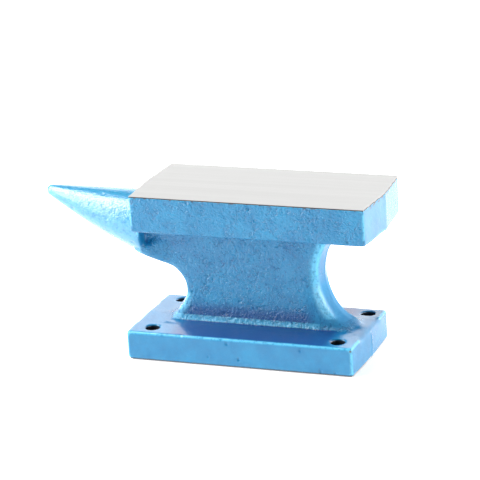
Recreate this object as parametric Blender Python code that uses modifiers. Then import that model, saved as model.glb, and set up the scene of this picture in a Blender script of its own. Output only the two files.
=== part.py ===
"""A small horn anvil in cast iron, with a ground face and four screw holes in its base.

The anvil is one casting. It is modelled as its five named regions, each a closed solid
of its own, and a hairline gap stands between neighbours. The mould parted along the
upright plane y = 0, so the undersides and the ends of the blocks lean away from it.

Frame: origin at the centre of the base's underside, +Z up, the horn towards -X, the
heel towards +X. All lengths are in metres.
"""

import math

import bmesh
import bpy
from mathutils import Vector

MM = 0.001
GAP = 0.3 * MM
MERGE = 0.05 * MM
SHARP_ANGLE = math.radians(40)
BEVEL_SEGMENTS = 3

# Colours, as linear red, green and blue
ENAMEL_BLUE = (0.045, 0.33, 0.62)
ENAMEL_ROUGHNESS = 0.25
IRON_GREY = (0.72, 0.71, 0.68)
IRON_ROUGHNESS = 0.4

# Base
BASE_LENGTH = 67.5 * MM
BASE_WIDTH = 32.0 * MM
BASE_HEIGHT = 8.5 * MM
BASE_EDGE_RADIUS = 0.6 * MM
BASE_HORN_END_DRAFT = 0.2 * MM
BASE_HEEL_END_DRAFT = 0.6 * MM
BASE_TOP_DRAFT = 0.5 * MM

# Screw holes, drilled by eye: a little towards the heel's end, and one of them further
HOLE_DIAMETER = 4.0 * MM
HOLE_OFFSET_X = 0.5 * MM
HOLE_SPACING_X = 55.7 * MM
HOLE_SPACING_Y = 23.2 * MM
STRAY_HOLE_SHIFT = 1.2 * MM
HOLE_SIDES = 32

# Table, with the face plate on top of it
ANVIL_HEIGHT = 48.9 * MM
TABLE_LENGTH = 69.0 * MM
TABLE_WIDTH = 32.0 * MM
TABLE_THICKNESS = 10.5 * MM
TABLE_OFFSET = 4.5 * MM
TABLE_EDGE_RADIUS = 0.5 * MM
TABLE_HORN_END_DRAFT = 0.8 * MM
TABLE_HEEL_END_DRAFT = 1.2 * MM
TABLE_UNDER_DRAFT = 0.7 * MM
FACE_THICKNESS = 0.6 * MM

# Waist: a tight arc under the horn, a wide one under the heel, and flared feet
WAIST_THICKNESS = 10.0 * MM
WAIST_RIDGE = 1.0 * MM
WAIST_EDGE_RADIUS = 1.2 * MM
HORN_SIDE_CENTRE = Vector((-26.4 * MM, 18.2 * MM))
HORN_SIDE_RADIUS = 7.5 * MM
HORN_SIDE_THROAT_ANGLE = math.radians(70)
HORN_SIDE_FOOT_ANGLE = math.radians(-42)
HORN_SIDE_STEPS = 10
HEEL_SIDE_CENTRE = Vector((39.45 * MM, 24.6 * MM))
HEEL_SIDE_RADIUS = 19.0 * MM
HEEL_SIDE_FOOT_ANGLE = math.radians(213)
HEEL_SIDE_STEPS = 12
HEEL_FOOT_STEPS = 6
HEEL_FOOT_X = 31.35 * MM
HEEL_FOOT_RIDGE_X = 33.35 * MM

# Horn: a skewed cone with swelling sides, whose top runs level
HORN_TOP_HEIGHT = 45.8 * MM
HORN_ROOT_RADIUS = 9.3 * MM
HORN_TIP_RADIUS = 1.7 * MM
HORN_LENGTH = 31.9 * MM
HORN_SWELL = 1.28
HORN_STATIONS = 14
HORN_TIP_STATIONS = 5
HORN_SIDES = 48

TABLE_LEFT = TABLE_OFFSET - TABLE_LENGTH / 2
TABLE_UNDERSIDE = ANVIL_HEIGHT - TABLE_THICKNESS
HORN_ROOT_X = TABLE_LEFT - TABLE_HORN_END_DRAFT - GAP


def clear_scene():
    """Remove every object the scene starts with."""
    for existing in list(bpy.data.objects):
        bpy.data.objects.remove(existing, do_unlink=True)


def new_collection(name):
    """A collection linked to the scene."""
    collection = bpy.data.collections.new(name)
    bpy.context.scene.collection.children.link(collection)
    return collection


def principled(name, colour, roughness, metallic):
    """A Principled material of one colour."""
    material = bpy.data.materials.new(name)
    material.use_nodes = True
    shader = material.node_tree.nodes["Principled BSDF"]
    shader.inputs["Base Color"].default_value = (*colour, 1.0)
    shader.inputs["Roughness"].default_value = roughness
    shader.inputs["Metallic"].default_value = metallic
    return material


def add_object(name, mesh, collection, material=None):
    """An object for a mesh, in its collection, with its material."""
    piece = bpy.data.objects.new(name, mesh)
    collection.objects.link(piece)
    if material:
        mesh.materials.append(material)
    return piece


def mesh_from(shape, name):
    """A mesh data block from a bmesh, which is freed."""
    mesh = bpy.data.meshes.new(name)
    shape.to_mesh(mesh)
    shape.free()
    return mesh


def add_cutter(name, mesh, collection):
    """A helper object that is never part of the anvil."""
    cutter = add_object(name, mesh, collection)
    cutter.hide_render = True
    cutter.display_type = "WIRE"
    return cutter


def add_mirror(piece):
    """Complete a half that is open at y = 0."""
    mirror = piece.modifiers.new("other half", "MIRROR")
    mirror.use_axis = (False, True, False)
    mirror.merge_threshold = MERGE


def add_bevel(piece, width):
    """Round the edges that turn sharply."""
    bevel = piece.modifiers.new("rounded edges", "BEVEL")
    bevel.width = width
    bevel.segments = BEVEL_SEGMENTS
    bevel.limit_method = "ANGLE"
    bevel.angle_limit = SHARP_ANGLE


def shade_round(mesh):
    """Shade the curved faces smooth and keep the sharp edges sharp."""
    mesh.shade_smooth()
    mesh.set_sharp_from_angle(angle=SHARP_ANGLE)


def cut(piece, cutter):
    """Take the cutter away from the piece."""
    boolean = piece.modifiers.new("cut by " + cutter.name, "BOOLEAN")
    boolean.operation = "DIFFERENCE"
    boolean.solver = "EXACT"
    boolean.object = cutter


def half_block(name, length, width, low, high, end_drafts, low_draft=0.0, high_draft=0.0):
    """Half of a block, open at the parting plane, where it is fullest.

    end_drafts is how far the horn's end and the heel's end swell out at that plane.
    """
    shape = bmesh.new()
    bmesh.ops.create_cube(shape, size=1.0)
    for vert in shape.verts:
        at_plane = vert.co.y > 0
        is_top = vert.co.z > 0
        is_heel_end = vert.co.x > 0
        swell = end_drafts[is_heel_end] if at_plane else 0.0
        vert.co.x = length / 2 + swell if is_heel_end else -length / 2 - swell
        vert.co.y = 0.0 if at_plane else -width / 2
        vert.co.z = high if is_top else low
        if at_plane:
            vert.co.z += high_draft if is_top else -low_draft
    open_face = [face for face in shape.faces if face.normal.y > 0.5]
    bmesh.ops.delete(shape, geom=open_face, context="FACES_ONLY")
    return mesh_from(shape, name)


def arc(centre, radius, start, end, steps):
    """Points along an arc, from one angle to another, both in radians."""
    points = []
    for step in range(steps + 1):
        angle = start + (end - start) * step / steps
        points.append(centre + radius * Vector((math.cos(angle), math.sin(angle))))
    return points


def tangent_arc(start, direction, end, steps):
    """Points along the arc that leaves the start in a direction and comes to the end."""
    chord = end - start
    across = Vector((-direction.y, direction.x))
    radius = chord.length_squared / (2 * chord.dot(across))
    centre = start + across * radius
    first = (start - centre).angle_signed(Vector((1.0, 0.0)))
    turn = (end - centre).angle_signed(start - centre)
    return arc(centre, abs(radius), first, first + turn, steps)


def heel_side_outline(low, high, foot_x, ridge):
    """The waist's outline under the heel, from its foot up to the table."""
    radius = HEEL_SIDE_RADIUS - ridge
    upper_angle = math.pi - math.asin((high - HEEL_SIDE_CENTRE.y) / radius)
    side = arc(HEEL_SIDE_CENTRE, radius, HEEL_SIDE_FOOT_ANGLE, upper_angle, HEEL_SIDE_STEPS)
    downward = Vector((-math.sin(HEEL_SIDE_FOOT_ANGLE), math.cos(HEEL_SIDE_FOOT_ANGLE)))
    foot = tangent_arc(side[0], downward, Vector((foot_x, low)), HEEL_FOOT_STEPS)
    foot.reverse()
    return foot[:-1] + side


def horn_side_outline(low, high, ridge):
    """The waist's outline under the horn, from the table down to its foot."""
    bend = arc(
        HORN_SIDE_CENTRE,
        HORN_SIDE_RADIUS - ridge,
        HORN_SIDE_THROAT_ANGLE,
        HORN_SIDE_FOOT_ANGLE,
        HORN_SIDE_STEPS,
    )
    left = HORN_ROOT_X + GAP
    throat_rise = (bend[0].x - left) / math.tan(HORN_SIDE_THROAT_ANGLE)
    foot_run = (low - bend[-1].y) * math.tan(HORN_SIDE_FOOT_ANGLE)
    throat_end = Vector((left, bend[0].y + throat_rise))
    foot = Vector((bend[-1].x - foot_run, low))
    return [Vector((left, high)), throat_end] + bend + [foot]


def half_waist():
    """Half of the waist: a loft from its ridge at the parting plane to its flat side."""
    low = BASE_HEIGHT + BASE_TOP_DRAFT + GAP
    high = TABLE_UNDERSIDE - TABLE_UNDER_DRAFT - GAP
    shape = bmesh.new()
    ridge_outline = heel_side_outline(low, high, HEEL_FOOT_RIDGE_X, WAIST_RIDGE)
    ridge_outline += horn_side_outline(low, high, WAIST_RIDGE)
    side_outline = heel_side_outline(low, high, HEEL_FOOT_X, 0.0)
    side_outline += horn_side_outline(low, high, 0.0)
    side_y = -WAIST_THICKNESS / 2
    ridge_ring = [shape.verts.new((point.x, 0.0, point.y)) for point in ridge_outline]
    side_ring = [shape.verts.new((point.x, side_y, point.y)) for point in side_outline]
    shape.faces.new(side_ring)
    for index, vert in enumerate(side_ring):
        before = index - 1
        shape.faces.new((ridge_ring[before], ridge_ring[index], vert, side_ring[before]))
    return mesh_from(shape, "waist")


def horn_tip():
    """Where the cone ends, and the centre and radius of the ball that closes it smoothly."""
    cone_length = HORN_LENGTH - HORN_TIP_RADIUS
    slope = HORN_SWELL * (HORN_ROOT_RADIUS - HORN_TIP_RADIUS) / cone_length
    ball_radius = HORN_TIP_RADIUS * math.hypot(1.0, slope)
    return cone_length, cone_length - HORN_TIP_RADIUS * slope, ball_radius


def horn_radius(along):
    """The horn's radius at a distance from its root, down to nothing at the tip."""
    cone_length, ball_centre, ball_radius = horn_tip()
    if along > cone_length:
        past = min(along - ball_centre, ball_radius)
        return math.sqrt(ball_radius**2 - past**2)
    share = along / cone_length
    return HORN_ROOT_RADIUS - (HORN_ROOT_RADIUS - HORN_TIP_RADIUS) * share**HORN_SWELL


def horn_stations():
    """Distances from the root, evenly along the cone and by angle round the tip."""
    cone_length, ball_centre, ball_radius = horn_tip()
    stations = [cone_length * step / HORN_STATIONS for step in range(HORN_STATIONS)]
    first_angle = math.asin((cone_length - ball_centre) / ball_radius)
    for step in range(HORN_TIP_STATIONS + 1):
        angle = first_angle + (math.pi / 2 - first_angle) * step / HORN_TIP_STATIONS
        stations.append(ball_centre + ball_radius * math.sin(angle))
    return stations


def skewed_horn():
    """The horn's profile spun round the X axis, each ring then slid up to a level top."""
    shape = bmesh.new()
    cone_length = horn_tip()[0]
    stations = horn_stations()
    profile = [(0.0, 0.0)] + [(along, horn_radius(along)) for along in stations]
    verts = [shape.verts.new((HORN_ROOT_X - along, 0.0, radius)) for along, radius in profile]
    edges = [shape.edges.new(pair) for pair in zip(verts, verts[1:])]
    bmesh.ops.spin(
        shape,
        geom=verts + edges,
        axis=(1.0, 0.0, 0.0),
        angle=2 * math.pi,
        steps=HORN_SIDES,
        use_merge=True,
    )
    bmesh.ops.remove_doubles(shape, verts=shape.verts, dist=MERGE)
    bmesh.ops.recalc_face_normals(shape, faces=shape.faces)
    for vert in shape.verts:
        along = max(HORN_ROOT_X - vert.co.x, 0.0)
        vert.co.z += HORN_TOP_HEIGHT - horn_radius(min(along, cone_length))
    return mesh_from(shape, "horn")


def screw_hole_drill(cutters):
    """A drill for one screw hole, long enough to pass both faces of the base."""
    shape = bmesh.new()
    bmesh.ops.create_cone(
        shape,
        cap_ends=True,
        segments=HOLE_SIDES,
        radius1=HOLE_DIAMETER / 2,
        radius2=HOLE_DIAMETER / 2,
        depth=BASE_HEIGHT * 2,
    )
    return add_cutter("screw hole", mesh_from(shape, "screw hole"), cutters)


def make_base(parts, cutters, enamel):
    """The foot of the anvil, with a screw hole near each corner."""
    mesh = half_block(
        "base",
        BASE_LENGTH,
        BASE_WIDTH,
        0.0,
        BASE_HEIGHT,
        (BASE_HORN_END_DRAFT, BASE_HEEL_END_DRAFT),
        high_draft=BASE_TOP_DRAFT,
    )
    base = add_object("base", mesh, parts, enamel)
    add_mirror(base)
    add_bevel(base, BASE_EDGE_RADIUS)
    for x_side in (-1, 1):
        for y_side in (-1, 1):
            drill = screw_hole_drill(cutters)
            stray = STRAY_HOLE_SHIFT if x_side > 0 and y_side > 0 else 0.0
            hole_x = HOLE_OFFSET_X + x_side * HOLE_SPACING_X / 2 + stray
            drill.location = (hole_x, y_side * HOLE_SPACING_Y / 2, BASE_HEIGHT / 2)
            cut(base, drill)


def make_table(parts, enamel):
    """The block under the face, whose right end overhangs the waist as the heel."""
    top = ANVIL_HEIGHT - FACE_THICKNESS - GAP
    mesh = half_block(
        "table",
        TABLE_LENGTH,
        TABLE_WIDTH,
        TABLE_UNDERSIDE,
        top,
        (TABLE_HORN_END_DRAFT, TABLE_HEEL_END_DRAFT),
        low_draft=TABLE_UNDER_DRAFT,
    )
    table = add_object("table", mesh, parts, enamel)
    table.location.x = TABLE_OFFSET
    add_mirror(table)
    add_bevel(table, TABLE_EDGE_RADIUS)


def make_face_plate(parts, ground_iron):
    """The bare working face, ground flat."""
    mesh = half_block(
        "face_plate",
        TABLE_LENGTH,
        TABLE_WIDTH,
        ANVIL_HEIGHT - FACE_THICKNESS,
        ANVIL_HEIGHT,
        (TABLE_HORN_END_DRAFT, TABLE_HEEL_END_DRAFT),
    )
    face_plate = add_object("face_plate", mesh, parts, ground_iron)
    face_plate.location.x = TABLE_OFFSET
    add_mirror(face_plate)


def make_horn(parts, enamel):
    """The horn, whose root is flat where it meets the end of the table."""
    mesh = skewed_horn()
    shade_round(mesh)
    add_object("horn", mesh, parts, enamel)


def make_waist(parts, enamel):
    """The web between base and table."""
    mesh = half_waist()
    shade_round(mesh)
    waist = add_object("waist", mesh, parts, enamel)
    add_mirror(waist)
    add_bevel(waist, WAIST_EDGE_RADIUS)


def build():
    """Make the whole anvil."""
    clear_scene()
    parts = new_collection("horn_anvil")
    cutters = new_collection("cutters")
    enamel = principled("blue enamel", ENAMEL_BLUE, ENAMEL_ROUGHNESS, metallic=0.0)
    ground_iron = principled("ground iron", IRON_GREY, IRON_ROUGHNESS, metallic=1.0)
    make_base(parts, cutters, enamel)
    make_waist(parts, enamel)
    make_table(parts, enamel)
    make_face_plate(parts, ground_iron)
    make_horn(parts, enamel)


build()
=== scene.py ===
"""The looks of a small horn anvil: blue enamel over a rough iron casting, with a bare ground face.

The casting is grown as one skin round the CAD solids, roughened, and then parted along the
creases between the CAD nodes, so that neighbouring pieces meet exactly.
"""

import math

import bmesh
import bpy
import numpy as np
from mathutils import Matrix, Vector, noise


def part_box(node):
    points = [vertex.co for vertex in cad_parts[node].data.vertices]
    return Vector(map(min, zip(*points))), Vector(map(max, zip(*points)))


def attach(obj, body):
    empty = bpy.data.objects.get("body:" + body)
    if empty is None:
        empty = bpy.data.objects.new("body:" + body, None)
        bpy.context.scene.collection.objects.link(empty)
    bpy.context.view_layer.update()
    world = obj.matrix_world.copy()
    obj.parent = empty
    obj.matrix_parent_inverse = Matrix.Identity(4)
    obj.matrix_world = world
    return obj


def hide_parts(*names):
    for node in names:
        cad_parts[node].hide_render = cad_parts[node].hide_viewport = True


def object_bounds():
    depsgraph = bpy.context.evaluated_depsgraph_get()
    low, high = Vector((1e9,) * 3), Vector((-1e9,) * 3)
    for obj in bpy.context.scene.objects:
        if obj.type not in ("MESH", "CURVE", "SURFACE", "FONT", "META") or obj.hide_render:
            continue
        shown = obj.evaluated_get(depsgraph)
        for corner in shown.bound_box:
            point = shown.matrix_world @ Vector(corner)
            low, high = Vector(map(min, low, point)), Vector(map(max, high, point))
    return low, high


MM = 0.001

# Skin: its mesh size, and how far the CAD solids are pushed into each other before they are joined
VOXEL = 0.3 * MM
OVERLAP = 0.8 * MM
HORN_OVERLAP = 0.45 * MM

# How far from a flat joint a point may be and still be pushed with it: at the waist and table,
# whose joints are ridged, and at the horn, whose joint is a plane
JOINT_DEPTH = 0.75 * MM
PLANE_TOLERANCE = 0.01 * MM

# Parting: how far under the working face its plate ends, and how fine a cut is made
FACE_DEPTH = 0.3 * MM
CUT_TOLERANCE = 0.0001 * MM
SHARP_ANGLE = math.radians(50)

# Rounded lip under the root of the horn, in millimetres: how far along from the root, how
# high its underside and its top are from the horn's lowest point, and its half width
LIP_STATIONS = (
    (-2.5, 1.8, 4.0, 6.4),
    (0.0, 0.6, 4.9, 7.2),
    (1.6, -0.3, 5.3, 7.0),
    (3.2, -1.2, 6.4, 6.4),
    (4.8, -2.0, 7.6, 5.8),
    (6.4, -2.4, 8.4, 5.3),
    (8.4, -2.4, 3.0, 4.9),
    (9.9, -2.2, 1.0, 4.4),
)
LIP_SIDES = 32

LIP_SQUARENESS = 0.6

# Fillet round the foot of the waist: its height, and how much wider and longer it is
TOE_HEIGHT = 1.2 * MM
TOE_SPREAD = 1.42
TOE_STRETCH = 1.0 + 0.1 * (TOE_SPREAD - 1.0)

# How far the heel's end slopes back from its parting line to its side
HEEL_DRAFT = 1.2 * MM

# Rounded corners: the base's lower edges, and the table's upright one at the back of the heel
BOTTOM_RADIUS = 0.55 * MM
BASE_HORN_CORNER = 2.4 * MM
BASE_HEEL_CORNER = 1.2 * MM
TABLE_REAR_CORNER = 1.3 * MM

# Rounds of smoothing, each of which reaches about one voxel further
FIRST_ROUNDS = 3
HEEL_END_ROUNDS = 90
HORN_END_ROUNDS = 25
FOOT_ROUNDS = 30
HEEL_FOOT_ROUNDS = 60
HORN_ROOT_ROUNDS = 26
THROAT_ROUNDS = 6
HEEL_THROAT_ROUNDS = 40

# Regions of the casting along an axis, in millimetres. Three numbers are a band's start, its end
# and how softly it fades. Two numbers are where a fade starts and ends, which for the horn's
# grain and gloss are measured towards -X. A single number is a limit, a margin or a half width.
WEB_Z = (9.6, 37.0, 0.6)
WEB_X = (-31.0, 34.0, 1.0)
WEB_END_Z = (11.5, 36.5, 1.5)
WEB_END_X = (10.0, 12.0)
WEB_HALF_WIDTH = 6.5
WEB_FADE_Y = (7.5, 9.5)
HORN_END_TOP = 26.0
TABLE_Z = (38.0, 48.5, 0.3)
TABLE_X = (-30.8, 38.6, 0.3)
HORN_GRAIN_X = (31.0, 32.0)
HORN_GLOSS_X = (31.0, 31.5)
HORN_BOTTOM = 12.0
HORN_ROOT_X = (-31.4, -22.0, 0.6)
HORN_ROOT_Z = (24.0, 33.0, 2.0)
FOOT_Z = (8.0, 11.0, 1.0)
HEEL_FOOT_Z = (8.0, 15.0, 2.0)
HEEL_FOOT_X = (27.0, 31.0)
THROAT_Z = (36.8, 37.9, 0.8)
HEEL_THROAT_X = (18.0, 22.0)
TOE_HALF_WIDTH = 8.5
TOE_GRAIN_Z = (9.3, 10.8, 0.4)
TOE_GRAIN_X = (-34.0, 29.0, 2.0)
TOE_HIGHLIGHT_Z = (9.4, 10.6, 0.3)
TOE_HIGHLIGHT_X = (-34.0, 24.5, 1.5)
BORE_Z = (0.3, 8.2, 0.2)
BORE_MARGIN_X = 2.0
BORE_MARGIN_Y = 1.5
DARK_FOOT_Z = (0.40, 0.75)
LOW_ARRIS_Z = (0.3, 1.0)
TABLE_UNDERSIDE_Z = (37.5, 40.0, 0.4)
TABLE_UNDERSIDE_Y = 8.0
TABLE_UNDERSIDE_X = -31.2
LIP_Z = (18.0, 37.5, 1.0)
LIP_X = (-31.0, -16.0, 0.5)
LIP_HALF_WIDTH = 9.0
HEEL_TOE_Z = (9.4, 12.0, 0.8)
HEEL_TOE_X = (19.0, 22.0)
HEEL_TOE_HALF_WIDTH = 9.0
POLISHED_Z = (14.5, 20.0, 3.5)
POLISHED_X = (10.0, 12.0)
FLANK_BOTTOM_Z = (9.2, 10.6)
FLANK_TOP_Z = (20.0, 26.0)
FLANK_X = (15.0, 19.0)
FLANK_HALF_WIDTH = 9.0
BASE_SHADE_Z = (7.0, 9.2, 0.2)
BASE_SHADE_X = (-18.0, 24.0, 5.0)
BASE_SHADE_Y = (15.0, 15.8)
WEB_SHADE_Z = (10.6, 12.0, 4.0)
WEB_SHADE_BOTTOM = 10.2
WEB_SHADE_X = (-20.0, 16.0, 5.0)
WEB_SHADE_HALF_WIDTH = 8.0
EDGE_SHADE_Z = (37.5, 38.0, 0.15)
EDGE_SHADE_X = (-27.0, 34.0, 3.0)
EDGE_SHADE_Y = 15.3

# How far a point stands out from the smoothed shape, in millimetres, where an edge counts as an arris
# that is rounded over, as one that gets a painted highlight, and as a crease that gets painted shade
ROUNDED_ARRIS_STAND = (0.03, 0.10)
HIGHLIGHT_STAND = (0.045, 0.12)
SHADE_STAND = (0.05, 0.20)

# Relief of the casting, in millimetres
SWELL_DEPTH = 0.04
GRAIN_DEPTH = 0.012
WEB_GRAIN = 0.06
TABLE_GRAIN = 0.05
HORN_GRAIN = 0.025
TOE_GRAIN = 0.07
PIT_DEPTH = 0.25
WRINKLE_DEPTH = 0.14
FLASH_HEIGHT = 0.12
FLASH_HALF_WIDTH = 0.35
SWELL_SIZE = 6.0
GRAIN_SIZE = 0.9
PIT_SPACING = 5.0
PIT_SIZE = 0.7
WRINKLE_SIZE = 2.6
WRINKLE_WIDTH = 0.06
WRINKLE_PATCH_SIZE = 9.0

# Chipped spots, in millimetres: the table's rear heel corner and the base's near heel corner
TABLE_CHIP = (39.0, 15.6, 48.2)
TABLE_CHIP_RADIUS = 1.3
TABLE_CHIP_TOP = 48.6
BASE_CHIP = (33.4, -15.8, 7.9)
BASE_CHIP_RADIUS = 0.7

# Camera, from the perspective of the object's own edges
CAMERA_AZIMUTH = math.radians(22.0204)
CAMERA_ELEVATION = math.radians(18.6015)
CAMERA_ROLL = math.radians(-3.6259)
CAMERA_DISTANCE = 718.38 * MM
CAMERA_TARGET = Vector((4.5 * MM, 0.0, 21.3 * MM))
CAMERA_SIDE_STEP = -7.521 * MM
CAMERA_RISE = 11.53 * MM
CAMERA_LENS = 190.575
CAMERA_NEAREST = 10 * MM

# Lights: name, place, the point it faces, width, height and brightness, in metres
OBJECT_MIDDLE = (0.0, 0.0, 0.025)
LIGHTS = (
    ("back wall", (0.0, 0.9, 0.19), (0.0, 0.0, 0.19), 2.2, 0.38, 1.75),
    ("back wall top", (0.0, 0.9, 0.55), (0.0, 0.0, 0.1), 1.8, 0.3, 2.5),
    ("right wall", (0.9, 0.1, 0.19), (0.0, 0.1, 0.19), 1.5, 0.38, 3.2),
    ("right softbox", (0.75, 0.45, 0.3), OBJECT_MIDDLE, 0.6, 0.5, 4.3),
    ("left softbox", (-0.64, -0.32, 0.28), OBJECT_MIDDLE, 0.5, 0.5, 6.5),
    ("left upper softbox", (-0.48, -0.16, 0.62), OBJECT_MIDDLE, 0.42, 0.42, 9.0),
    ("overhead softbox", (0.0, 0.0, 0.9), OBJECT_MIDDLE, 0.6, 0.6, 1.5),
)
WORLD_BRIGHTNESS = 0.02

# Floor: how brightly it glows in front and at the back, and where along Y it changes
FLOOR_SIZE = 4.0
FLOOR_GLOW = (0.35, 0.95)
FLOOR_GLOW_Y = (-0.03, 0.05)

# Colours
ENAMEL_DEEP = (0.008, 0.192, 0.420, 1.0)
ENAMEL_LIGHT = (0.018, 0.278, 0.535, 1.0)
ENAMEL_PAINTED_SHADE = (0.014, 0.070, 0.265, 1.0)
ENAMEL_SHADE = (0.006, 0.110, 0.290, 1.0)
ENAMEL_HIGHLIGHT = (0.130, 0.600, 0.900, 1.0)
RUST = (0.070, 0.048, 0.036, 1.0)
BARE_IRON_AND_SHADE = (0.020, 0.028, 0.040, 1.0)
GROUND_IRON_DARK = (0.455, 0.455, 0.450, 1.0)
GROUND_IRON_LIGHT = (0.495, 0.495, 0.490, 1.0)

# Enamel: the features in a metre of each of its noises, and its gloss
MOTTLE_SCALE = 170.0
DARK_SPECK_SCALE = 1500.0
GLINT_SCALE = 1700.0
HIGHLIGHT_SCALE = 900.0
CHIP_SCALE = 700.0
GLOSS_SCALE = 400.0
GRAIN_SCALE = 2100.0
CREASE_SCALE = 420.0
CREASE_PATCH_SCALE = 230.0
CREASE_SHADE_TINT = 0.45
CREASE_HEIGHT = 0.35
GRAIN_HEIGHT = 0.4 * MM
ENAMEL_ROUGHNESS = (0.12, 0.26)
DULLED_ROUGHNESS = 0.5
ENAMEL_IOR = 1.52
COAT_ROUGHNESS = 0.14
COAT_IOR = 1.7

# Ground face: its grinding lines in a metre along each axis, and the height of its brown rim
LAY_SCALE = (12.0, 500.0, 500.0)
LAY_HEIGHT = 0.1 * MM
LAY_STRENGTH = 0.1
RIM_TOP = 48.87 * MM
RIM_BOTTOM = 48.78 * MM
GROUND_METALLIC = 0.85
GROUND_ROUGHNESS = 0.42


def smooth_step(value, low, high):
    """0 below low, 1 above high and an even curve between, for an array."""
    share = np.clip((value - low) / (high - low), 0.0, 1.0)
    return share * share * (3.0 - 2.0 * share)


def band(value, low, high, soft):
    """1 between low and high, fading to 0 over a soft width outside."""
    return smooth_step(value, low - soft, low) * (1.0 - smooth_step(value, high, high + soft))


def near(point, place, radius):
    """1 at a place, fading to 0 at a distance from it, for arrays of coordinates."""
    distance = np.sqrt(sum((axis - middle) ** 2 for axis, middle in zip(point, place)))
    return 1.0 - smooth_step(distance, 0.4 * radius, radius)


# ---------------------------------------------------------------- skin


def stretched_copy(node, joined, low=None, high=None, right=None):
    """Add a CAD node's mesh to a bmesh, with its flat joints pushed into its neighbours."""
    start = len(joined.verts)
    joined.from_mesh(node.data)
    joined.verts.ensure_lookup_table()
    verts = joined.verts[start:]
    bottom = min(vert.co.z for vert in verts)
    top = max(vert.co.z for vert in verts)
    end = max(vert.co.x for vert in verts)
    for vert in verts:
        if low and vert.co.z < bottom + low:
            vert.co.z -= OVERLAP
        if high and vert.co.z > top - high:
            vert.co.z += OVERLAP
        if right and vert.co.x > end - right:
            vert.co.x += HORN_OVERLAP


def slice_off(shape, point, direction):
    """Remove what a bmesh has in front of a plane, and close the cut."""
    cut = bmesh.ops.bisect_plane(
        shape,
        geom=shape.verts[:] + shape.edges[:] + shape.faces[:],
        dist=CUT_TOLERANCE,
        plane_co=point,
        plane_no=direction,
        clear_outer=True,
    )
    rim = [item for item in cut["geom_cut"] if isinstance(item, bmesh.types.BMEdge)]
    bmesh.ops.holes_fill(shape, edges=rim, sides=0)


def squarish(wave):
    """Fill a sine wave out, so that an ellipse becomes a rounded rectangle."""
    return math.copysign(abs(wave) ** LIP_SQUARENESS, wave)


def add_toe(waist, joined):
    """A spread slice off the foot of the waist, to fill the crease round it."""
    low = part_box(waist.name)[0]
    toe = bmesh.new()
    toe.from_mesh(waist.data)
    slice_off(toe, (0.0, 0.0, low.z + TOE_HEIGHT), (0.0, 0.0, 1.0))
    middle = sum(vert.co.x for vert in toe.verts) / len(toe.verts)
    for vert in toe.verts:
        vert.co.x = middle + (vert.co.x - middle) * TOE_STRETCH
        vert.co.y *= TOE_SPREAD
        if abs(vert.co.z - low.z) < JOINT_DEPTH:
            vert.co.z -= OVERLAP
    toe_mesh = bpy.data.meshes.new("toe")
    toe.to_mesh(toe_mesh)
    toe.free()
    joined.from_mesh(toe_mesh)
    bpy.data.meshes.remove(toe_mesh)


def add_lip(joined):
    """A rounded lip that carries the horn's underside on into the waist."""
    horn_low, horn_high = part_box("horn")
    rings = []
    for along, low, high, half_width in LIP_STATIONS:
        middle = (low + high) / 2
        ring = []
        for side in range(LIP_SIDES):
            angle = 2 * math.pi * side / LIP_SIDES
            x = horn_high.x + along * MM
            y = half_width * MM * squarish(math.cos(angle))
            z = horn_low.z + (middle + (high - middle) * squarish(math.sin(angle))) * MM
            ring.append(joined.verts.new((x, y, z)))
        rings.append(ring)
    for left, right in zip(rings, rings[1:]):
        for side in range(LIP_SIDES):
            before = side - 1
            joined.faces.new((left[before], left[side], right[side], right[before]))
    joined.faces.new(rings[0])
    joined.faces.new(reversed(rings[-1]))


def voxel_skin(joined):
    """One closed skin round everything in the bmesh, as a mesh."""
    bmesh.ops.recalc_face_normals(joined, faces=joined.faces)
    mesh = bpy.data.meshes.new("casting")
    joined.to_mesh(mesh)
    joined.free()
    blank = bpy.data.objects.new("casting", mesh)
    bpy.context.scene.collection.objects.link(blank)
    remesh = blank.modifiers.new("skin", "REMESH")
    remesh.mode = "VOXEL"
    remesh.voxel_size = VOXEL
    evaluated = blank.evaluated_get(bpy.context.evaluated_depsgraph_get())
    skin = bpy.data.meshes.new_from_object(evaluated)
    bpy.data.objects.remove(blank)
    return skin


def grow_skin(nodes):
    """The whole casting as one skin."""
    joined = bmesh.new()
    stretched_copy(nodes["base"], joined)
    stretched_copy(nodes["waist"], joined, low=JOINT_DEPTH, high=JOINT_DEPTH)
    stretched_copy(nodes["table"], joined, high=JOINT_DEPTH)
    stretched_copy(nodes["horn"], joined, right=PLANE_TOLERANCE)
    stretched_copy(nodes["face_plate"], joined)
    add_lip(joined)
    add_toe(nodes["waist"], joined)
    return voxel_skin(joined)


def points_of(mesh):
    """A mesh's points as an array."""
    points = np.empty(len(mesh.vertices) * 3)
    mesh.vertices.foreach_get("co", points)
    return points.reshape(-1, 3)


def normals_of(mesh):
    """A mesh's vertex normals as an array."""
    normals = np.empty(len(mesh.vertices) * 3)
    mesh.vertex_normals.foreach_get("vector", normals)
    return normals.reshape(-1, 3)


def set_points(mesh, points):
    """Move a mesh's points."""
    mesh.vertices.foreach_set("co", points.ravel())
    mesh.update()


def smoothed(mesh, values, weight, rounds):
    """Values at a mesh's points, each drawn towards the mean of its neighbours' values."""
    edges = np.empty(len(mesh.edges) * 2, dtype=np.int64)
    mesh.edges.foreach_get("vertices", edges)
    first, second = edges.reshape(-1, 2).T
    values = values.copy()
    count = len(values)
    ends = np.concatenate((first, second))
    others = np.concatenate((second, first))
    valence = np.bincount(ends, minlength=count)
    share = 0.5 * np.broadcast_to(weight, count)
    for _ in range(rounds):
        for column in values.T:
            total = np.bincount(ends, weights=column[others], minlength=count)
            column += share * (total / valence - column)
    return values


def relax(mesh, weight, rounds):
    """Smooth a mesh's shape, as far as the weight of each point says."""
    set_points(mesh, smoothed(mesh, points_of(mesh), weight, rounds))


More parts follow.
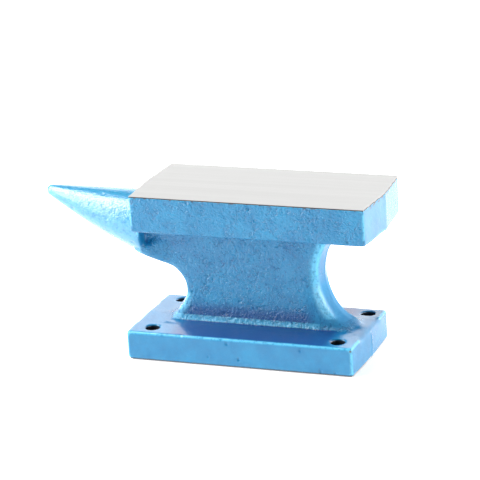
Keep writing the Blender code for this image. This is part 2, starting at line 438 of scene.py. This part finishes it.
def bulge(mesh, rounds):
    """How far each point stands out from the smoothed shape, in millimetres."""
    points = points_of(mesh)
    calm = smoothed(mesh, points, 1.0, rounds)
    return ((points - calm) * normals_of(mesh)).sum(axis=1) / MM


def round_corner(points, axes, corner, sides, radius):
    """Pull the points outside a rounded corner, seen along the third axis, back onto its arc."""
    out = [(points[:, axis] - place) * side + radius for axis, place, side in zip(axes, corner, sides)]
    distance = np.hypot(*out)
    outside = (out[0] > 0) & (out[1] > 0) & (distance > radius)
    scale = radius / distance[outside]
    for axis, place, side, beyond in zip(axes, corner, sides, out):
        points[outside, axis] = place + side * (beyond[outside] * scale - radius)


def round_bottom(points, half_width):
    """Round the long lower arrises of the base."""
    height = np.clip(BOTTOM_RADIUS - points[:, 2], 0.0, BOTTOM_RADIUS)
    limit = half_width - BOTTOM_RADIUS + np.sqrt(BOTTOM_RADIUS**2 - height**2)
    points[:, 1] = np.clip(points[:, 1], -limit, limit)


def widened(mesh, share, gain, rounds):
    """A share spread out over its surroundings, and brought back up to full strength."""
    return np.clip(gain * smoothed(mesh, share[:, None], 1.0, rounds)[:, 0], 0.0, 1.0)


def add_field(mesh, name, values):
    """Keep a share for each point of a mesh, from 0 to 1, for its material to read."""
    shares = np.clip(values, 0.0, 1.0)
    mesh.attributes.new(name, "FLOAT", "POINT").data.foreach_set("value", shares)


def field_of(mesh, name):
    """The shares kept on a mesh's points under a name."""
    shares = np.empty(len(mesh.vertices))
    mesh.attributes[name].data.foreach_get("value", shares)
    return shares


def round_block_corners(mesh):
    """Round the lower edges of the base, and the table's corner at the back of the heel."""
    points = points_of(mesh)
    base_low, base_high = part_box("base")
    table_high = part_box("table")[1]
    rear_corner = (table_high.x - HEEL_DRAFT, table_high.y)
    round_corner(points, (0, 2), (base_low.x, base_low.z), (-1, -1), BASE_HORN_CORNER)
    round_corner(points, (0, 2), (base_high.x, base_low.z), (1, -1), BASE_HEEL_CORNER)
    round_corner(points, (0, 1), rear_corner, (1, 1), TABLE_REAR_CORNER)
    round_bottom(points, base_high.y)
    set_points(mesh, points)


def round_web_ends(mesh):
    """Round the web's concave ends over, widely at the heel and a little at the horn."""
    x, y, z = points_of(mesh).T / MM
    arris = smooth_step(bulge(mesh, 12), *ROUNDED_ARRIS_STAND)
    wide = widened(mesh, arris, 4.0, 40)
    web = band(z, *WEB_END_Z) * (np.abs(y) < WEB_HALF_WIDTH)
    heel_end = wide * web * smooth_step(x, *WEB_END_X)
    horn_end = wide * web * smooth_step(-x, *WEB_END_X) * (z < HORN_END_TOP)
    relax(mesh, heel_end, HEEL_END_ROUNDS)
    relax(mesh, horn_end, HORN_END_ROUNDS)
    # The rounded ends carry a worn gloss and a painted highlight.
    add_field(mesh, "wear_and_highlight", heel_end + 0.7 * horn_end)


def fill_creases(mesh):
    """Grow fillets where the waist meets the base, the horn and the table."""
    x, y, z = points_of(mesh).T / MM
    near_web = 1.0 - smooth_step(np.abs(y), *WEB_FADE_Y)
    throat = near_web * band(z, *THROAT_Z)
    relax(mesh, near_web * band(z, *FOOT_Z), FOOT_ROUNDS)
    relax(mesh, near_web * band(z, *HEEL_FOOT_Z) * smooth_step(x, *HEEL_FOOT_X), HEEL_FOOT_ROUNDS)
    relax(mesh, band(x, *HORN_ROOT_X) * band(z, *HORN_ROOT_Z), HORN_ROOT_ROUNDS)
    relax(mesh, throat, THROAT_ROUNDS)
    relax(mesh, throat * smooth_step(x, *HEEL_THROAT_X), HEEL_THROAT_ROUNDS)


def soften(mesh):
    """Round the casting's edges and grow fillets in its creases."""
    relax(mesh, 1.0, FIRST_ROUNDS)
    round_block_corners(mesh)
    round_web_ends(mesh)
    fill_creases(mesh)


def field(points, size, octaves=3, offset=0.0):
    """Fractal noise at each point, about -1 to 1, with features of a size in millimetres."""
    scale = 1.0 / (size * MM)
    shift = Vector((offset, offset * 0.7, offset * 1.3))
    return np.array([noise.fractal(Vector(p) * scale + shift, 1.0, 2.0, octaves) for p in points])


def pits(points, spacing, size, offset=0.0):
    """1 in the middle of scattered round pits and 0 away from them."""
    scale = 1.0 / (spacing * MM)
    shift = Vector((offset, offset, offset))
    distance = np.array([noise.voronoi(Vector(p) * scale + shift)[0][0] for p in points])
    return 1.0 - smooth_step(distance, 0.3 * size / spacing, size / spacing)


def wrinkles(points):
    """1 along the middle of scattered short creases and 0 away from them."""
    patchy = smooth_step(field(points, WRINKLE_PATCH_SIZE, 1, 5.0), -0.05, 0.20)
    return np.exp(-((field(points, WRINKLE_SIZE, 2, 21.0) / WRINKLE_WIDTH) ** 2)) * patchy


def rough_regions(points):
    """The shares of each point that lie on the web, the table, the horn and the toe."""
    x, y, z = points.T / MM
    web = band(z, *WEB_Z) * band(x, *WEB_X)
    table = band(z, *TABLE_Z) * band(x, *TABLE_X)
    horn = smooth_step(-x, *HORN_GRAIN_X) * (z > HORN_BOTTOM)
    toe = band(z, *TOE_GRAIN_Z) * (np.abs(y) < TOE_HALF_WIDTH) * band(x, *TOE_GRAIN_X)
    return web, table, horn, toe


def relief(points, normals):
    """How far a sand casting's surface stands out at each point, in millimetres."""
    web, table, horn, toe = rough_regions(points)
    sides = np.abs(normals[:, 1]) ** 2
    grain_depth = GRAIN_DEPTH + WEB_GRAIN * web * sides + TABLE_GRAIN * table * sides
    grain_depth += HORN_GRAIN * horn
    grain_depth += TOE_GRAIN * toe
    depth = SWELL_DEPTH * field(points, SWELL_SIZE, 2)
    depth += grain_depth * field(points, GRAIN_SIZE, 2, 11.0)
    depth -= PIT_DEPTH * pits(points, PIT_SPACING, PIT_SIZE, 3.0) * (0.2 + sides)
    on_sides = wrinkles(points) * sides
    depth -= WRINKLE_DEPTH * on_sides * np.clip(0.5 * web + table, 0.0, 1.0)
    parting = np.exp(-((points[:, 1] / MM / FLASH_HALF_WIDTH) ** 2))
    flash = parting * (1.0 - np.abs(normals[:, 1])) * (normals[:, 2] < 0.5)
    return depth + FLASH_HEIGHT * flash


def mark_grit(mesh, points, normals):
    """Note how gritty the casting is under its enamel."""
    web, table, horn, toe = rough_regions(points)
    sides = np.abs(normals[:, 1]) ** 2
    add_field(mesh, "grit", 0.12 + 0.7 * web * sides + 0.6 * table * sides + 0.15 * horn + toe)


def roughen(mesh, low, high):
    """Give the skin the grain, pits and parting line of a sand casting, within the CAD's box."""
    points = points_of(mesh)
    normals = normals_of(mesh)
    mark_grit(mesh, points, normals)
    z = points[:, 2] / MM
    top = high.z / MM
    still = smooth_step(z, 0.0, 0.4) * (1.0 - smooth_step(z, top - 0.5, top - 0.1))
    points += normals * (relief(points, normals) * still * MM)[:, None]
    points = np.clip(points, np.array(low), np.array(high))
    ground = points[:, 2] > high.z - 0.15 * MM
    points[ground, 2] = high.z
    set_points(mesh, points)


def bore_share(x, y, z):
    """1 on the walls of the base's holes, away from their ends."""
    base_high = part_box("base")[1] / MM
    within_y = np.abs(y) < base_high.y - BORE_MARGIN_Y
    within_x = np.abs(x) < base_high.x - BORE_MARGIN_X
    return (within_y & within_x) * band(z, *BORE_Z)


def toe_share(x, y, z):
    """1 on the toe, which gets a painted highlight and no painted shade."""
    return band(z, *TOE_HIGHLIGHT_Z) * (np.abs(y) < TOE_HALF_WIDTH) * band(x, *TOE_HIGHLIGHT_X)


def horn_share(x, z):
    """1 on the horn."""
    return smooth_step(-x, *HORN_GLOSS_X) * (z > HORN_BOTTOM)


def polished_share(wear_and_highlight, x, z):
    """1 where the heel's side of the web is worn smooth."""
    return wear_and_highlight * band(z, *POLISHED_Z) * smooth_step(x, *POLISHED_X)


def mark_painted_highlight(mesh, x, y, z, stand):
    """Note where a highlight is painted on the enamel: on arrises, the rounded web ends, the toe and
    the horn, but not in hidden corners.
    """
    wear_and_highlight = field_of(mesh, "wear_and_highlight")
    # Painted highlight: lighter enamel on arrises and on the rounded web ends.
    painted_highlight = smooth_step(stand, *HIGHLIGHT_STAND) + wear_and_highlight
    # The toe gets a painted highlight, and the horn is painted lighter all over.
    painted_highlight += 0.7 * toe_share(x, y, z)
    painted_highlight += 0.4 * horn_share(x, z)
    near_bore = widened(mesh, bore_share(x, y, z), 8.0, 12)
    low_arris = 1.0 - smooth_step(z, *LOW_ARRIS_Z)
    beside_web = (np.abs(y) > TABLE_UNDERSIDE_Y) * (x > TABLE_UNDERSIDE_X)
    table_underside = band(z, *TABLE_UNDERSIDE_Z) * beside_web
    on_lip = band(x, *LIP_X) * band(z, *LIP_Z) * (np.abs(y) < LIP_HALF_WIDTH)
    at_heel = smooth_step(x, *HEEL_TOE_X) * band(z, *HEEL_TOE_Z)
    heel_toe = at_heel * (np.abs(y) < HEEL_TOE_HALF_WIDTH)
    painted_highlight *= (1.0 - near_bore) * (1.0 - low_arris) * (1.0 - table_underside)
    painted_highlight *= (1.0 - 0.9 * on_lip) * (1.0 - 0.9 * heel_toe)
    add_field(mesh, "painted_highlight", painted_highlight)


def mark_painted_shade(mesh, x, y, z, stand):
    """Note where shade is painted on the enamel: in creases, on the base's top, low on the web and
    along the table's lower edge.
    """
    # Painted shade: darker in creases, on the base's top under the table, low on the web and along the
    # table's lower edge.
    creases = smooth_step(-stand, *SHADE_STAND)
    creases = creases * (1.0 - toe_share(x, y, z)) * (1.0 - horn_share(x, z))
    within_base = (1.0 - smooth_step(np.abs(y), *BASE_SHADE_Y)) * band(x, *BASE_SHADE_X)
    on_base = band(z, *BASE_SHADE_Z) * within_base
    low_web = band(z, *WEB_SHADE_Z) * (z > WEB_SHADE_BOTTOM) * band(x, *WEB_SHADE_X)
    low_web *= np.abs(y) < WEB_SHADE_HALF_WIDTH
    table_edge = band(z, *EDGE_SHADE_Z) * (np.abs(y) > EDGE_SHADE_Y) * band(x, *EDGE_SHADE_X)
    add_field(mesh, "painted_shade", creases + 0.9 * on_base + 0.8 * low_web + table_edge)


def mark_chips(mesh, x, y, z):
    """Note where the enamel is chipped: along the ground face and on two corners."""
    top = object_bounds()[1].z / MM
    chip = 0.8 * smooth_step(z, top - 0.8, top - 0.35)
    chip += 0.9 * smooth_step(x, 38.0, 38.8) * smooth_step(z, top - 1.3, top - 0.8)
    chip += 2.0 * near((x, y, z), TABLE_CHIP, TABLE_CHIP_RADIUS) * (z < TABLE_CHIP_TOP)
    chip += 2.0 * near((x, y, z), BASE_CHIP, BASE_CHIP_RADIUS)
    add_field(mesh, "chip", chip)


def mark_gloss(mesh, x, y, z):
    """Note where the enamel is glossy, and where it is dull: the low flank of the heel's side."""
    polished = polished_share(field_of(mesh, "wear_and_highlight"), x, z)
    flank = smooth_step(z, *FLANK_BOTTOM_Z) * (1.0 - smooth_step(z, *FLANK_TOP_Z))
    flank *= smooth_step(x, *FLANK_X) * (np.abs(y) < FLANK_HALF_WIDTH)
    add_field(mesh, "gloss", 0.25 * (1.0 - flank) + horn_share(x, z) + polished)
    add_field(mesh, "dull", flank * (1.0 - polished))


def mark_enamel(mesh):
    """Note where highlight and shade are painted on the enamel, where it is chipped and glossy, and
    where it is darkened in the holes and along the foot.
    """
    x, y, z = points_of(mesh).T / MM
    stand = bulge(mesh, 14)
    mark_painted_highlight(mesh, x, y, z, stand)
    mark_painted_shade(mesh, x, y, z, stand)
    mark_chips(mesh, x, y, z)
    mark_gloss(mesh, x, y, z)
    # Darker inside the base's holes and along its bottom edge: partly bare iron, partly painted shade.
    underside = 1.0 - smooth_step(z, *DARK_FOOT_Z)
    add_field(mesh, "bare_and_shade", bore_share(x, y, z) + underside)


def cut_away(mesh, planes, name):
    """The part of the skin behind every (point, normal) plane, closed where it was cut."""
    shape = bmesh.new()
    shape.from_mesh(mesh)
    for point, direction in planes:
        slice_off(shape, point, direction)
    piece_mesh = bpy.data.meshes.new(name)
    shape.to_mesh(piece_mesh)
    shape.free()
    piece_mesh.shade_smooth()
    piece_mesh.set_sharp_from_angle(angle=SHARP_ANGLE)
    piece = bpy.data.objects.new(name, piece_mesh)
    bpy.context.scene.collection.objects.link(piece)
    return piece


def part_skin(mesh):
    """The skin parted into the five pieces."""
    up = Vector((0.0, 0.0, 1.0))
    right = Vector((1.0, 0.0, 0.0))
    boxes = {name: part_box(name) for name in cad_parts}
    face_seam = boxes["face_plate"][1] - up * FACE_DEPTH
    table_seam = (boxes["waist"][1] + boxes["table"][0]) / 2
    waist_seam = (boxes["base"][1] + boxes["waist"][0]) / 2
    horn_seam = (boxes["horn"][1] + boxes["table"][0]) / 2
    planes = {
        "base": [(waist_seam, up)],
        "waist": [(waist_seam, -up), (table_seam, up), (horn_seam, -right)],
        "table": [(table_seam, -up), (face_seam, up), (horn_seam, -right)],
        "horn": [(waist_seam, -up), (horn_seam, right)],
        "face_plate": [(face_seam, -up)],
    }
    return {node: cut_away(mesh, planes[node], node + "_skin") for node in planes}


# ---------------------------------------------------------------- materials


def node_adder(material):
    """A short way to add nodes to a material."""
    tree = material.node_tree

    def add(kind, **inputs):
        added = tree.nodes.new(kind)
        for name, value in inputs.items():
            socket = added.inputs[name.replace("_", " ")]
            if isinstance(value, bpy.types.NodeSocket):
                tree.links.new(value, socket)
            else:
                socket.default_value = value
        return added

    return add


def spot_field(material, name):
    """A number kept on the mesh's points."""
    spot = material.node_tree.nodes.new("ShaderNodeAttribute")
    spot.attribute_name = name
    return spot.outputs["Fac"]


def noise_between(add, place, scale, low, high, detail=2.0):
    """Noise as a share, 0 below one level and 1 above the other."""
    wave = add("ShaderNodeTexNoise", Vector=place, Scale=scale, Detail=detail, Roughness=0.6)
    share = add("ShaderNodeMapRange", Value=wave.outputs["Fac"])
    share.inputs["From Min"].default_value = low
    share.inputs["From Max"].default_value = high
    return share.outputs["Result"]


def arithmetic(add, operation, *values):
    """The result of a sum on numbers and sockets."""
    step = add("ShaderNodeMath")
    step.operation = operation
    for socket, value in zip(step.inputs, values):
        if isinstance(value, bpy.types.NodeSocket):
            step.id_data.links.new(value, socket)
        else:
            socket.default_value = value
    return step.outputs["Value"]


def product(add, first, second):
    """Two shares multiplied."""
    return arithmetic(add, "MULTIPLY", first, second)


def crease_lines(add, place):
    """Short fine creases, where a slow noise crosses its middle, in scattered patches."""
    wave = add("ShaderNodeTexNoise", Vector=place, Scale=CREASE_SCALE, Detail=2.0, Roughness=0.6)
    away = arithmetic(add, "SUBTRACT", wave.outputs["Fac"], 0.5)
    line = add("ShaderNodeMapRange", Value=arithmetic(add, "ABSOLUTE", away))
    line.inputs["From Min"].default_value = 0.045
    line.inputs["From Max"].default_value = 0.015
    patches = noise_between(add, place, CREASE_PATCH_SCALE, 0.50, 0.57)
    return product(add, line.outputs["Result"], patches)


def tint(add, share, colour, other):
    """One colour mixed into another as far as a share says."""
    mix = add("ShaderNodeMix")
    mix.data_type = "RGBA"
    tree = mix.id_data
    tree.links.new(share, mix.inputs["Factor"])
    tree.links.new(colour, mix.inputs[6])
    mix.inputs[7].default_value = other
    return mix.outputs[2]


def two_colour_noise(add, wave, low_colour, high_colour):
    """A noise coloured from one colour to another over its middle range."""
    colours = add("ShaderNodeValToRGB", Fac=wave.outputs["Fac"])
    low, high = colours.color_ramp.elements
    low.position = 0.3
    low.color = low_colour
    high.position = 0.7
    high.color = high_colour
    return colours.outputs["Color"]


def enamel_colour(add, material, place, grit, lines):
    """Mottled blue, with painted shade in creases and low down, painted highlights and glints on high
    spots, and chipped to brown.
    """
    mottle = add("ShaderNodeTexNoise", Vector=place, Scale=MOTTLE_SCALE, Detail=5.0, Roughness=0.65)
    colour = two_colour_noise(add, mottle, ENAMEL_DEEP, ENAMEL_LIGHT)
    # Painted shade: darker in creases, on the base's top, low on the web and under the table's edge.
    colour = tint(add, spot_field(material, "painted_shade"), colour, ENAMEL_PAINTED_SHADE)
    dark_specks = product(add, noise_between(add, place, DARK_SPECK_SCALE, 0.41, 0.31), grit)
    colour = tint(add, dark_specks, colour, ENAMEL_SHADE)
    # Painted shade along the fine creases.
    shaded_lines = product(add, product(add, lines, grit), CREASE_SHADE_TINT)
    colour = tint(add, shaded_lines, colour, ENAMEL_SHADE)
    # Painted glints: light specks where the grain would catch the light.
    painted_glints = product(add, noise_between(add, place, GLINT_SCALE, 0.66, 0.78), grit)
    colour = tint(add, painted_glints, colour, ENAMEL_HIGHLIGHT)
    # Painted highlight on arrises, the rounded web ends, the toe and the horn.
    patchy_highlight = noise_between(add, place, HIGHLIGHT_SCALE, 0.24, 0.50)
    colour = tint(add, product(add, spot_field(material, "painted_highlight"), patchy_highlight), colour, ENAMEL_HIGHLIGHT)
    patchy_chips = noise_between(add, place, CHIP_SCALE, 0.54, 0.62)
    colour = tint(add, product(add, spot_field(material, "chip"), patchy_chips), colour, RUST)
    # Darker in the holes and along the foot: partly bare iron, partly painted shade.
    return tint(add, spot_field(material, "bare_and_shade"), colour, BARE_IRON_AND_SHADE)


def enamel_roughness(add, material, place):
    """The enamel's roughness: an uneven gloss, dulled on the heel's flank."""
    gloss = add("ShaderNodeTexNoise", Vector=place, Scale=GLOSS_SCALE, Detail=3.0)
    uneven = add("ShaderNodeMapRange", Value=gloss.outputs["Fac"])
    uneven.inputs["To Min"].default_value = ENAMEL_ROUGHNESS[0]
    uneven.inputs["To Max"].default_value = ENAMEL_ROUGHNESS[1]
    dulled = product(add, spot_field(material, "dull"), DULLED_ROUGHNESS)
    return arithmetic(add, "ADD", uneven.outputs["Result"], dulled)


def enamel_normal(add, tree, place, grit, lines):
    """The enamel's fine relief: cast grain, with short creases cut into it."""
    grain = add("ShaderNodeTexNoise", Vector=place, Scale=GRAIN_SCALE, Detail=2.0, Roughness=0.5)
    height = arithmetic(add, "SUBTRACT", grain.outputs["Fac"], product(add, lines, CREASE_HEIGHT))
    bump = add("ShaderNodeBump", Height=height, Distance=GRAIN_HEIGHT)
    tree.links.new(grit, bump.inputs["Strength"])
    return bump.outputs["Normal"]


def enamel_material():
    """Gloss blue enamel over cast grain, with painted highlights on the high spots and painted shade
    in the creases.
    """
    material = bpy.data.materials.new("blue_enamel")
    material.use_nodes = True
    tree = material.node_tree
    add = node_adder(material)
    shader = tree.nodes["Principled BSDF"]
    place = add("ShaderNodeTexCoord").outputs["Object"]
    grit = spot_field(material, "grit")
    lines = crease_lines(add, place)
    normal = enamel_normal(add, tree, place, grit, lines)
    sockets = {
        "Base Color": enamel_colour(add, material, place, grit, lines),
        "Roughness": enamel_roughness(add, material, place),
        "Normal": normal,
        "Coat Weight": spot_field(material, "gloss"),
        "Coat Normal": normal,
    }
    for name, value in sockets.items():
        tree.links.new(value, shader.inputs[name])
    shader.inputs["IOR"].default_value = ENAMEL_IOR
    shader.inputs["Coat Roughness"].default_value = COAT_ROUGHNESS
    shader.inputs["Coat IOR"].default_value = COAT_IOR
    return material


def ground_iron_material():
    """Bare iron, ground lengthwise, and brown with rust and dirt on its rim."""
    material = bpy.data.materials.new("ground_iron")
    material.use_nodes = True
    tree = material.node_tree
    add = node_adder(material)
    shader = tree.nodes["Principled BSDF"]
    place = add("ShaderNodeTexCoord").outputs["Object"]

    stretch = add("ShaderNodeMapping", Vector=place)
    stretch.inputs["Scale"].default_value = LAY_SCALE
    lay = add("ShaderNodeTexNoise", Vector=stretch.outputs["Vector"], Scale=1.0, Detail=5.0)
    ground = two_colour_noise(add, lay, GROUND_IRON_DARK, GROUND_IRON_LIGHT)

    height = add("ShaderNodeSeparateXYZ", Vector=place).outputs["Z"]
    rim = add("ShaderNodeMapRange", Value=height)
    rim.inputs["From Min"].default_value = RIM_TOP
    rim.inputs["From Max"].default_value = RIM_BOTTOM
    colour = tint(add, rim.outputs["Result"], ground, RUST)
    tree.links.new(colour, shader.inputs["Base Color"])

    lay_height = lay.outputs["Fac"]
    bump = add("ShaderNodeBump", Height=lay_height, Strength=LAY_STRENGTH, Distance=LAY_HEIGHT)
    tree.links.new(bump.outputs["Normal"], shader.inputs["Normal"])
    shader.inputs["Metallic"].default_value = GROUND_METALLIC
    shader.inputs["Roughness"].default_value = GROUND_ROUGHNESS
    return material


# ---------------------------------------------------------------- studio


def add_camera():
    """The camera, at the distance, height and tilt that the object's edges show."""
    azimuth, elevation = CAMERA_AZIMUTH, CAMERA_ELEVATION
    back = Vector((
        math.sin(azimuth) * math.cos(elevation),
        -math.cos(azimuth) * math.cos(elevation),
        math.sin(elevation),
    ))
    right = Vector((math.cos(azimuth), math.sin(azimuth), 0.0))
    up = back.cross(right)
    place = CAMERA_TARGET + right * CAMERA_SIDE_STEP + up * CAMERA_RISE + back * CAMERA_DISTANCE
    rolled_right = right * math.cos(CAMERA_ROLL) + up * math.sin(CAMERA_ROLL)
    rolled_up = up * math.cos(CAMERA_ROLL) - right * math.sin(CAMERA_ROLL)
    data = bpy.data.cameras.new("camera")
    data.lens = CAMERA_LENS
    data.clip_start = CAMERA_NEAREST
    camera = bpy.data.objects.new("camera", data)
    rotation = Matrix((rolled_right, rolled_up, back)).transposed()
    camera.matrix_world = Matrix.Translation(place) @ rotation.to_4x4()
    bpy.context.scene.collection.objects.link(camera)
    bpy.context.scene.camera = camera


def add_soft_light(name, place, target, width, height, brightness):
    """A soft rectangular light of an even brightness, which faces a point."""
    data = bpy.data.lights.new(name, "AREA")
    data.shape = "RECTANGLE"
    data.size = width
    data.size_y = height
    data.energy = brightness * width * height * math.pi
    light = bpy.data.objects.new(name, data)
    light.location = place
    light.rotation_euler = (Vector(target) - Vector(place)).to_track_quat("-Z", "Y").to_euler()
    bpy.context.scene.collection.objects.link(light)


def add_lights():
    """White walls behind and on the right, softboxes on both sides, and one overhead."""
    for light in LIGHTS:
        add_soft_light(*light)


def add_floor():
    """A pale floor that glows a little, and more towards the back, like a light table."""
    mesh = bpy.data.meshes.new("floor")
    shape = bmesh.new()
    bmesh.ops.create_grid(shape, x_segments=1, y_segments=1, size=FLOOR_SIZE)
    shape.to_mesh(mesh)
    shape.free()
    material = bpy.data.materials.new("floor")
    material.use_nodes = True
    add = node_adder(material)
    shader = material.node_tree.nodes["Principled BSDF"]
    shader.inputs["Base Color"].default_value = (0.9, 0.9, 0.9, 1.0)
    shader.inputs["Roughness"].default_value = 0.9
    shader.inputs["Emission Color"].default_value = (1.0, 1.0, 1.0, 1.0)
    place = add("ShaderNodeTexCoord").outputs["Object"]
    depth = add("ShaderNodeSeparateXYZ", Vector=place).outputs["Y"]
    glow = add("ShaderNodeMapRange", Value=depth)
    glow.inputs["From Min"].default_value = FLOOR_GLOW_Y[0]
    glow.inputs["From Max"].default_value = FLOOR_GLOW_Y[1]
    glow.inputs["To Min"].default_value = FLOOR_GLOW[0]
    glow.inputs["To Max"].default_value = FLOOR_GLOW[1]
    material.node_tree.links.new(glow.outputs["Result"], shader.inputs["Emission Strength"])
    mesh.materials.append(material)
    floor = bpy.data.objects.new("floor", mesh)
    bpy.context.scene.collection.objects.link(floor)


def add_world():
    """Even white light from all round."""
    world = bpy.data.worlds.new("studio")
    world.use_nodes = True
    background = world.node_tree.nodes["Background"]
    background.inputs["Color"].default_value = (1.0, 1.0, 1.0, 1.0)
    background.inputs["Strength"].default_value = WORLD_BRIGHTNESS
    bpy.context.scene.world = world


# ---------------------------------------------------------------- scene

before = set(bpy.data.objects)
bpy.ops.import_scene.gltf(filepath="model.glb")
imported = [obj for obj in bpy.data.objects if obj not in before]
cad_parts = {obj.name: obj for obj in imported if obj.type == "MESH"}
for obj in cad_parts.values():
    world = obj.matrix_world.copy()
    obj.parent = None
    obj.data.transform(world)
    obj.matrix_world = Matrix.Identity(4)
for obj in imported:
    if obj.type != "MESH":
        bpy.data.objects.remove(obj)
cad_low, cad_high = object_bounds()

casting = grow_skin(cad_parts)
soften(casting)
mark_enamel(casting)
roughen(casting, cad_low, cad_high)
pieces = part_skin(casting)

finishes = {"blue_enamel": enamel_material(), "ground_iron": ground_iron_material()}
for node_name, piece in pieces.items():
    slot_name = "ground_iron" if node_name == "face_plate" else "blue_enamel"
    piece.data.materials.append(finishes[slot_name])
    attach(piece, "root")
    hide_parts(node_name)

add_camera()
add_floor()
add_world()
add_lights()
bpy.context.scene.view_settings.view_transform = "Standard"
